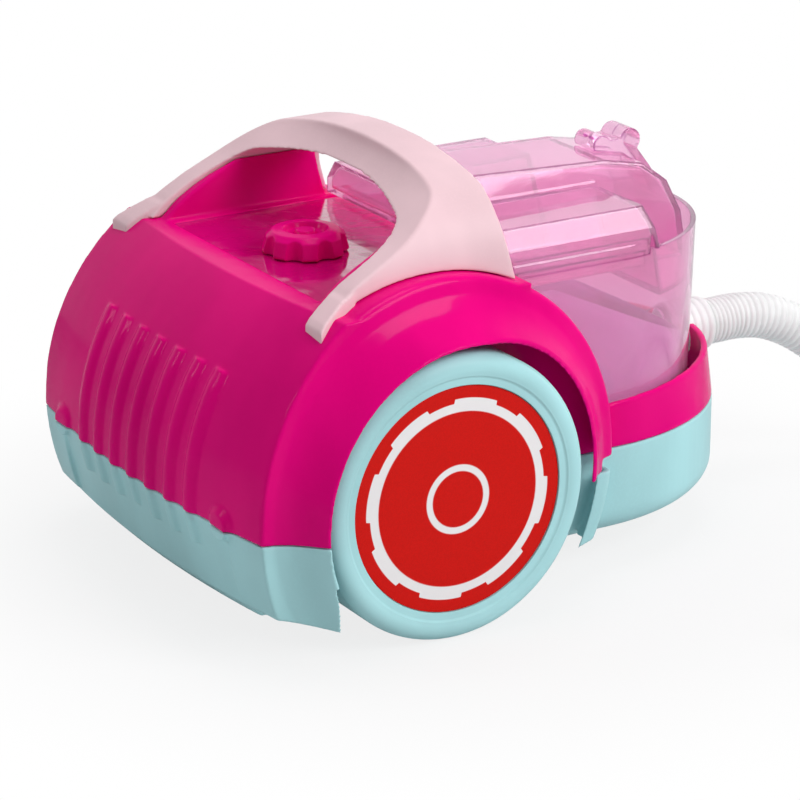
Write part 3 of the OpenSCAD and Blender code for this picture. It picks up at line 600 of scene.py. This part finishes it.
@dataclass
class Rounded:
    """Copies of CAD solids with the softened edges of a moulding."""

    finishes: Finishes

    def make(self, node: str, body: str, slot: Slot, voxel: float, passes: int, keep: float,
             filler: bpy.types.Mesh | None = None,
             cutter: bpy.types.Mesh | None = None) -> bpy.types.Object:
        """Copies a node, rounds its edges and puts the copy in its place.

        Args:
            node: The CAD node.
            body: The body that it rides on.
            slot: Its finish.
            voxel: Size of the grid that the skin is rebuilt on.
            passes: How often the skin is relaxed.
            keep: Share of the faces that are kept.
            filler: A solid that is joined to it first.
            cutter: A solid that is cut away from it.

        Returns:
            The new piece.
        """
        joined = bmesh.new()
        joined.from_mesh(frame["nodes"][node].data)
        if filler:
            joined.from_mesh(filler)
        copied = bpy.data.meshes.new(f"{node}_moulded")
        joined.to_mesh(copied)
        joined.free()
        piece = link(f"{node}_moulded", copied)
        block = link("cutter", cutter) if cutter else None
        if block:
            cut = piece.modifiers.new("cut", "BOOLEAN")
            cut.operation = "DIFFERENCE"
            cut.solver = "EXACT"
            cut.object = block
        skin = piece.modifiers.new("skin", "REMESH")
        skin.mode = "VOXEL"
        skin.voxel_size = voxel
        relax = piece.modifiers.new("relax", "SMOOTH")
        relax.factor = 0.5
        relax.iterations = passes
        thin = piece.modifiers.new("thin", "DECIMATE")
        thin.ratio = keep
        graph = bpy.context.evaluated_depsgraph_get()
        mesh = bpy.data.meshes.new_from_object(piece.evaluated_get(graph))
        piece.modifiers.clear()
        piece.data = mesh
        if block:
            bpy.data.objects.remove(block)
        mesh.shade_smooth()
        self.finishes.dress(piece, slot)
        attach(piece, body)
        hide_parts(node)
        LOG.info("rounded %s: %d faces", node, len(mesh.polygons))
        return piece


@dataclass
class RibbedHose:
    """The hose: a ribbed tube along its route, with its connector at the far end."""

    finishes: Finishes
    outside: float = 0.010
    rib_depth: float = 0.0012
    skin: float = 0.0011
    ribs: int = 120
    rings_per_rib: int = 8
    sides: int = 32
    cuff_outside: float = 0.0117
    cuff_bore: float = 0.0103
    cuff_rib_depth: float = 0.0009
    cuff_ribs: int = 5
    route: list[Point] = field(default_factory=lambda: [
        (0, -135, 70), (0, -145, 70), (0, -156, 70), (-1, -170, 68), (-3, -184, 62), (-6, -197, 53),
        (-10, -209, 43), (-14, -221, 32), (-19, -234, 22), (-26, -249, 15), (-35, -265, 12), (-47, -281, 11),
        (-62, -295, 11), (-80, -306, 11), (-101, -312, 11), (-123, -312, 11), (-144, -306, 11),
        (-162, -295, 11), (-176, -279, 11), (-185, -260, 11), (-189, -239, 11), (-190, -218, 11),
        (-190, -198, 11), (-190, -178, 12), (-190, -158, 13), (-190, -138, 14), (-190, -130, 14)])

    def point(self, share: float) -> Vector:
        """A point on the smooth curve through the route.

        Args:
            share: From 0 at the collar to 1 at the connector.

        Returns:
            The point, in metres.
        """
        points = [Vector(p) / 1000.0 for p in self.route]
        points = [2 * points[0] - points[1], *points, 2 * points[-1] - points[-2]]
        last = len(points) - 3
        along = min(share * last, last - 1e-6)
        i = int(along)
        t = along - i
        a, b, c, d = points[i:i + 4]
        squared = (2 * a - 5 * b + 4 * c - d) * t ** 2
        cubed = (3 * b - a - 3 * c + d) * t ** 3
        return 0.5 * (2 * b + (c - a) * t + squared + cubed)

    @staticmethod
    def dip(phase: float) -> float:
        """How deep a rib's section is at a phase of one rib: 1 in the valleys, 0 on the crest."""
        return (1.0 - math.sin(math.pi * phase)) ** 1.6

    def build(self) -> bpy.types.Object:
        """Builds and dresses the hose.

        Returns:
            The hose.
        """
        count = self.ribs * self.rings_per_rib
        mesh = bmesh.new()
        rings: Grid = []
        for inner in (0.0, self.skin):
            order = range(count + 1) if inner == 0.0 else range(count, -1, -1)
            for i in order:
                outer = self.outside - self.rib_depth * self.dip((i / self.rings_per_rib) % 1.0)
                rings.append(self._ring(mesh, i / count, outer - inner))
        self._skin(mesh, rings)
        data = finished(mesh, "hose_ribbed")
        data.shade_smooth()
        hose = link("hose_ribbed", data)
        self.finishes.dress(hose, Slot.HOSE)
        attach(hose, "chassis")
        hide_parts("hose")
        path = [self.point(i / 240) for i in range(241)]
        length = sum((b - a).length for a, b in zip(path, path[1:]))
        tuple(self.point(0.0))
        LOG.info("hose: %.3f m, %d ribs", length, self.ribs)
        return hose

    def build_cuff(self) -> bpy.types.Object:
        """Builds the ribbed cuff that holds the hose in the rim's notch.

        Returns:
            The cuff.
        """
        low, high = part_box("hose_collar")
        middle = Vector(((low.x + high.x) / 2, 0, (low.z + high.z) / 2))
        steps = self.cuff_ribs * self.rings_per_rib
        profile = [(low.y + (high.y - low.y) * i / steps,
                    self.cuff_outside - self.cuff_rib_depth * self.dip((i / self.rings_per_rib) % 1.0))
                   for i in range(steps + 1)]
        profile += [(high.y, self.cuff_bore), (low.y, self.cuff_bore)]
        mesh = bmesh.new()
        turns = [2 * math.pi * k / self.sides for k in range(self.sides)]
        rings = [[mesh.verts.new(middle + Vector((r * math.cos(a), y, r * math.sin(a)))) for a in turns]
                 for y, r in profile]
        self._skin(mesh, rings)
        data = finished(mesh, "hose_cuff")
        data.shade_smooth()
        cuff = link("hose_cuff", data)
        self.finishes.dress(cuff, Slot.HOSE)
        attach(cuff, "chassis")
        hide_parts("hose_collar")
        LOG.info("cuff: %d ribs", self.cuff_ribs)
        return cuff

    def _skin(self, mesh: bmesh.types.BMesh, rings: Grid) -> None:
        """Joins each ring to the next, and the last one to the first.

        Args:
            mesh: The mesh that holds them.
            rings: The rings in turn.
        """
        for near, far in zip(rings, rings[1:] + rings[:1]):
            for k in range(self.sides):
                j = (k + 1) % self.sides
                mesh.faces.new((near[k], near[j], far[j], far[k]))

    def _ring(self, mesh: bmesh.types.BMesh, share: float, radius: float) -> list[bmesh.types.BMVert]:
        """A ring of vertices square to the route.

        Args:
            mesh: Where they go.
            share: Place along the route.
            radius: The ring's radius.

        Returns:
            The vertices in turn.
        """
        at = self.point(share)
        ahead = (self.point(min(1.0, share + 0.002)) - self.point(max(0.0, share - 0.002))).normalized()
        side = ahead.cross(Vector((0, 0, 1))).normalized()
        top = side.cross(ahead)
        turns = [2 * math.pi * k / self.sides for k in range(self.sides)]
        return [mesh.verts.new(at + radius * (math.cos(a) * side + math.sin(a) * top)) for a in turns]


@dataclass
class Studio:
    """The pale floor, the soft light and the photograph's camera."""

    camera_at: Point = (-1.1975, 0.7304, 0.5603)
    camera_aim: Point = (-0.002, 0.0142, 0.063)
    lens: float = 162.0
    floor_size: float = 6.0

    def camera(self) -> None:
        """Makes the camera."""
        data = bpy.data.cameras.new("photo_camera")
        data.lens = self.lens
        data.sensor_width = 36.0
        data.clip_start = 0.05
        cam = bpy.data.objects.new("photo_camera", data)
        cam.location = self.camera_at
        aim = Vector(self.camera_aim) - Vector(self.camera_at)
        cam.rotation_euler = aim.to_track_quat("-Z", "Y").to_euler()
        bpy.context.collection.objects.link(cam)
        bpy.context.scene.camera = cam

    def floor(self) -> None:
        """Makes the floor, white to the camera away from the object's shadow."""
        half = self.floor_size / 2
        data = bpy.data.meshes.new("studio_floor")
        corners = [(-half, -half, 0), (half, -half, 0), (half, half, 0), (-half, half, 0)]
        data.from_pydata(corners, [], [(0, 1, 2, 3)])
        floor = link("studio_floor", data)
        made, shader = new_material("studio_floor")
        at = shader.place()
        x, y, _ = shader.axes(at)
        reach = (x * x + y * y).root()
        paper = shader.noise(at, 400.0, 2.0)
        lit = shader.node("ShaderNodeBsdfDiffuse", {}, {
            "Color": shader.blend(paper, (0.66, 0.66, 0.67), (0.69, 0.69, 0.69))})
        white = shader.node("ShaderNodeEmission", {}, {"Color": (1.0, 1.0, 1.0), "Strength": 1.0})
        share = (reach.step(0.12, 0.27) * 0.18 + 0.82) * shader.seen()
        shader.surface(shader.node("ShaderNodeMixShader", {}, {0: share, 1: lit, 2: white}))
        data.materials.append(made)

    def world(self) -> None:
        """Makes a soft surround: a bright wall beyond the toy's far front side, dim walls elsewhere."""
        world = bpy.data.worlds.new("World_studio")
        bpy.context.scene.world = world
        world.use_nodes = True
        shader = Shader(world.node_tree)
        at = shader.node("ShaderNodeTexCoord", out="Generated")
        x, y, up = shader.axes(at)
        far = (x * 0.86 - y * 0.51).step(0.1, 0.8) * (1 - up.step(0.45, 0.8))
        soft = shader.blend(up.step(-0.1, 0.9), (0.34, 0.34, 0.35), (0.30, 0.30, 0.31))
        soft = shader.blend(far, soft, (0.95, 0.95, 0.97))
        colour = shader.blend(shader.seen(), soft, (1.0, 1.0, 1.0))
        shader.surface(shader.node("ShaderNodeBackground", {}, {"Color": colour}), "ShaderNodeOutputWorld")

    def lamp(self, name: str, at: Point, aim: Point, size: float, watts: float) -> None:
        """Makes one soft box.

        Args:
            name: Its name.
            at: Where it stands.
            aim: What it points at.
            size: Its side.
            watts: Its power.
        """
        data = bpy.data.lights.new(name, "AREA")
        data.shape = "SQUARE"
        data.size = size
        data.energy = watts
        lamp = bpy.data.objects.new(name, data)
        lamp.location = at
        lamp.rotation_euler = (Vector(aim) - Vector(at)).to_track_quat("-Z", "Y").to_euler()
        bpy.context.collection.objects.link(lamp)

    def lights(self) -> None:
        """Makes the lamps: a key from the photograph's right, and a weak box over the rear."""
        centre = (0.0, 0.0, 0.08)
        self.lamp("key_box", (-1.3, -0.75, 1.1), centre, 0.9, 20.0)
        self.lamp("top_box", (0.1, -0.2, 1.7), centre, 0.8, 9.0)
        self.lamp("rear_box", (0.6, 1.3, 0.8), centre, 0.3, 2.0)

    def build(self) -> None:
        """Makes the whole studio."""
        bpy.context.scene.view_settings.view_transform = "Standard"
        self.camera()
        self.floor()
        self.world()
        self.lights()


@dataclass
class BinLiner:
    """Cloudy inner wall of the dust bin, higher at the rear than at the front."""

    finishes: Finishes
    nose_y: float = -0.052
    rear_y: float = -0.010
    half_width: float = 0.0635
    draft: float = 0.0266
    foot_z: float = 0.0412
    rim_z: float = 0.132
    thick: float = 0.0008
    top_z: float = 0.122
    slope: float = 0.463
    slope_start: Pair = (-0.005, 0.129)

    def outline(self, share: float, z: float, inset: float) -> Vector:
        """A point of the wall.

        Args:
            share: From 0 at the left rear, round the nose, to 1 at the right rear.
            z: Height over the floor.
            inset: How far inside the outer face.

        Returns:
            The point.
        """
        radius = self.half_width - self.draft * (self.rim_z - z) - inset
        straight = self.rear_y - self.nose_y
        arc = math.pi * radius
        along = share * (arc + 2 * straight)
        if along < straight:
            return Vector((-radius, self.rear_y - along, z))
        if along > straight + arc:
            return Vector((radius, self.nose_y + along - straight - arc, z))
        turn = (along - straight) / radius
        return Vector((-radius * math.cos(turn), self.nose_y - radius * math.sin(turn), z))

    def build(self) -> bpy.types.Object:
        """Builds and dresses the liner.

        Returns:
            The liner.
        """
        made = bmesh.new()
        grids: list[Grid] = []
        up, across = 10, 96
        start_y, start_z = self.slope_start
        for inset in (0.0, self.thick):
            grid: Grid = [[] for _ in range(up + 1)]
            for i in range(across + 1):
                y = self.outline(i / across, self.rim_z, inset).y
                top = min(self.top_z, start_z + self.slope * (y - start_y))
                for j in range(up + 1):
                    z = self.foot_z + (top - self.foot_z) * j / up
                    grid[j].append(made.verts.new(self.outline(i / across, z, inset)))
            grids.append(grid)
        close_slab(made, *grids)
        mesh = finished(made, "bin_liner")
        mesh.shade_smooth()
        liner = link("bin_liner", mesh)
        self.finishes.dress(liner, Slot.LINER)
        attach(liner, "bin")
        LOG.info("liner: %d faces", len(mesh.polygons))
        return liner


@dataclass(frozen=True)
class RearFace:
    """The bowed rear between the wheel arches, and the thicker wall behind its outer corners."""

    rear: float = 0.137
    plan_radius: float = 0.600
    bow_radius: float = 0.097
    bow_z: float = 0.056
    seam_z: float = 0.053
    foot_z: float = 0.021
    foot_in: float = 0.008
    depth: float = 0.003
    pitch: float = 0.0153
    flute_top: float = 0.1085
    flute_half: float = 0.0047
    flute_proud: float = 0.0022
    bar_foot: float = 0.0405
    bar_half: float = 0.0024
    bar_proud: float = 0.0021
    boss_x: float = 0.068
    boss_half: float = 0.0078
    boss_proud: float = 0.0024
    corner_in: float = 0.071
    corner_out: float = 0.0905
    corner_draft: float = 0.084
    corner_inset: float = 0.0004
    sunk: float = 0.0003
    root: float = 0.0016

    def surface(self, x: float, z: float) -> float:
        """The rear's y at a place.

        Args:
            x: Distance from the middle.
            z: Height over the floor.

        Returns:
            The y of the outer face.
        """
        if z >= self.seam_z:
            back = math.sqrt(self.bow_radius ** 2 - (z - self.bow_z) ** 2) - self.bow_radius
        else:
            back = -self.foot_in * (self.seam_z - z) / (self.seam_z - self.foot_z)
        reach = self.plan_radius + back
        return self.rear - self.plan_radius + math.sqrt(reach ** 2 - x ** 2)

    def corner_walls(self, made: bmesh.types.BMesh, low: float, high: float) -> None:
        """Adds a thin wall just inside both outer corners.

        Args:
            made: Where they go.
            low: Their lower end.
            high: Their upper end.
        """
        across, up = 14, 18
        for side in (-1.0, 1.0):
            sheets = []
            for inset in (self.corner_inset, self.depth):
                sheet = []
                for j in range(up + 1):
                    z = low + (high - low) * j / up
                    width = (self.corner_out - self.corner_in
                             + (self.surface(0.09, z) - self.rear) * self.corner_draft)
                    xs = [side * (self.corner_in + width * i / across) for i in range(across + 1)]
                    sheet.append([made.verts.new((x, self.surface(x, z) - inset, z)) for x in xs])
                sheets.append(sheet)
            close_slab(made, *sheets)

    def relief(self, made: bmesh.types.BMesh, place: tuple[float, float, float, float], proud: float,
               rise: Callable[[float, float], float]) -> None:
        """Adds one raised form to the rear.

        Args:
            made: Where it goes.
            place: Its middle and half width along x, and its lower and upper ends.
            proud: Its full height over the rear.
            rise: Share of that height, from the place across, -1 to 1, and the height over the floor.
        """
        middle, half, low, high = place
        across, up = 14, 28
        sheets = []
        for front in (True, False):
            sheet = []
            for j in range(up + 1):
                z = low + (high - low) * j / up
                row = []
                for i in range(across + 1):
                    u = 2.0 * i / across - 1.0
                    x = middle + half * u
                    out = proud * rise(u, z) - self.sunk if front else -self.root
                    row.append(made.verts.new((x, self.surface(x, z) + out, z)))
                sheet.append(row)
            sheets.append(sheet)
        close_slab(made, *sheets)

    def flute_rise(self, u: float, z: float) -> float:
        """A flute's section, rounded off at its upper end."""
        end = min(1.0, max(0.0, (self.flute_top - z) / 0.006))
        return (1.0 - u * u) ** 0.8 * math.sqrt(1.0 - (1.0 - end) ** 2)

    def bar_rise(self, u: float, z: float) -> float:
        """A bar's section, rounded off at its lower end."""
        end = min(1.0, max(0.0, (z - self.bar_foot) / 0.0025))
        return (1.0 - u * u) ** 0.5 * math.sqrt(1.0 - (1.0 - end) ** 2)

    def boss_rise(self, u: float, z: float) -> float:
        """A flat oval that lies across the seam."""
        v = (z - self.seam_z - 0.0025) / 0.006
        return max(0.0, 1.0 - u * u - v * v) ** 0.35

    def shell_extras(self) -> bpy.types.Mesh:
        """What is joined to the shell's rear: corner walls, fuller flutes and two ovals.

        Returns:
            The closed mesh.
        """
        made = bmesh.new()
        foot = self.seam_z + 0.0004
        self.corner_walls(made, foot, 0.105)
        for k in range(-3, 4):
            place = (k * self.pitch, self.flute_half, foot, self.flute_top)
            self.relief(made, place, self.flute_proud, self.flute_rise)
        for x in (-self.boss_x, self.boss_x):
            place = (x, self.boss_half, foot, self.seam_z + 0.0085)
            self.relief(made, place, self.boss_proud, self.boss_rise)
        return finished(made, "shell_extras")

    def tray_extras(self) -> bpy.types.Mesh:
        """What is joined to the tray's rear: corner walls, bars under the flutes and the ovals' lower ends.

        Returns:
            The closed mesh.
        """
        made = bmesh.new()
        top = self.seam_z - 0.0002
        self.corner_walls(made, 0.024, self.seam_z)
        for k in range(-3, 4):
            place = (k * self.pitch, self.bar_half, self.bar_foot, top)
            self.relief(made, place, self.bar_proud, self.bar_rise)
        for x in (-self.boss_x, self.boss_x):
            place = (x, self.boss_half, self.seam_z - 0.0035, top)
            self.relief(made, place, self.boss_proud, self.boss_rise)
        return finished(made, "tray_extras")

    def tip_cutter(self) -> bpy.types.Mesh:
        """Blocks that blunt the lower tips of the rear arches.

        Returns:
            The closed mesh.
        """
        profile = [(0.1052, 0.036), (0.0997, 0.0148), (0.0965, 0.002), (0.070, 0.002), (0.070, 0.036)]
        return prisms(profile, ((-0.118, -0.080), (0.080, 0.118)), "tip_cutter")


@dataclass
class Mouldings:
    """The big coloured mouldings, with rounded edges."""

    rounded: Rounded
    rear: RearFace = RearFace()

    @staticmethod
    def handle_feet() -> bpy.types.Mesh:
        """The ends of the handle's feet, which run down over the bowed rear.

        Returns:
            The closed mesh.
        """
        # Along y: inner and outer x, then the sole's and the crest's height.
        sections = [(0.080, 0.0685, 0.0792, 0.1340, 0.1420), (0.087, 0.0700, 0.0812, 0.1325, 0.1395),
                    (0.092, 0.0715, 0.0835, 0.1310, 0.1366), (0.097, 0.0735, 0.0858, 0.1285, 0.1335),
                    (0.0995, 0.0745, 0.0870, 0.1275, 0.1312)]
        made = bmesh.new()
        for side in (-1.0, 1.0):
            top: Grid = []
            low: Grid = []
            for y, inner, outer, foot, crest in sections:
                top.append([made.verts.new((side * x, y, crest)) for x in (inner, outer)])
                sole = ((inner, foot), (outer, foot - 0.003))
                low.append([made.verts.new((side * x, y, z)) for x, z in sole])
            close_slab(made, top, low)
        return finished(made, "handle_feet")

    def build(self) -> None:
        """Rounds the tray, the shell, the handle, the knob and the top of the bin."""
        self.rounded.make("upper_shell", "chassis", Slot.MAGENTA, 0.0006, 10, 0.2, self.rear.shell_extras())
        self.rounded.make("base_tray", "chassis", Slot.AQUA, 0.0006, 8, 0.25, self.rear.tray_extras(),
                          self.rear.tip_cutter())
        self.rounded.make("handle", "chassis", Slot.PALE, 0.0005, 22, 0.5, self.handle_feet())
        self.rounded.make("bin_lid", "bin", Slot.LID, 0.0005, 5, 0.35)
        self.rounded.make("bin_latch", "bin", Slot.LID, 0.0004, 8, 0.5)
        self.rounded.make("knob", "knob", Slot.MAGENTA, 0.0003, 6, 0.4)


def main() -> None:
    """Builds the studio and every sub-assembly."""
    logging.basicConfig(level=logging.INFO, format="%(name)s: %(message)s")
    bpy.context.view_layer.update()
    Studio().build()
    disc_low, disc_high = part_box("disc_left")
    axle = ((disc_low.y + disc_high.y) / 2, (disc_low.z + disc_high.z) / 2)
    finishes = Finishes(axle, (disc_high.y - disc_low.y) / 2)
    finishes.dress_nodes()
    hose = RibbedHose(finishes)
    hose.build()
    hose.build_cuff()
    BinLiner(finishes).build()
    Mouldings(Rounded(finishes)).build()


if __name__ == "__main__":
    main()
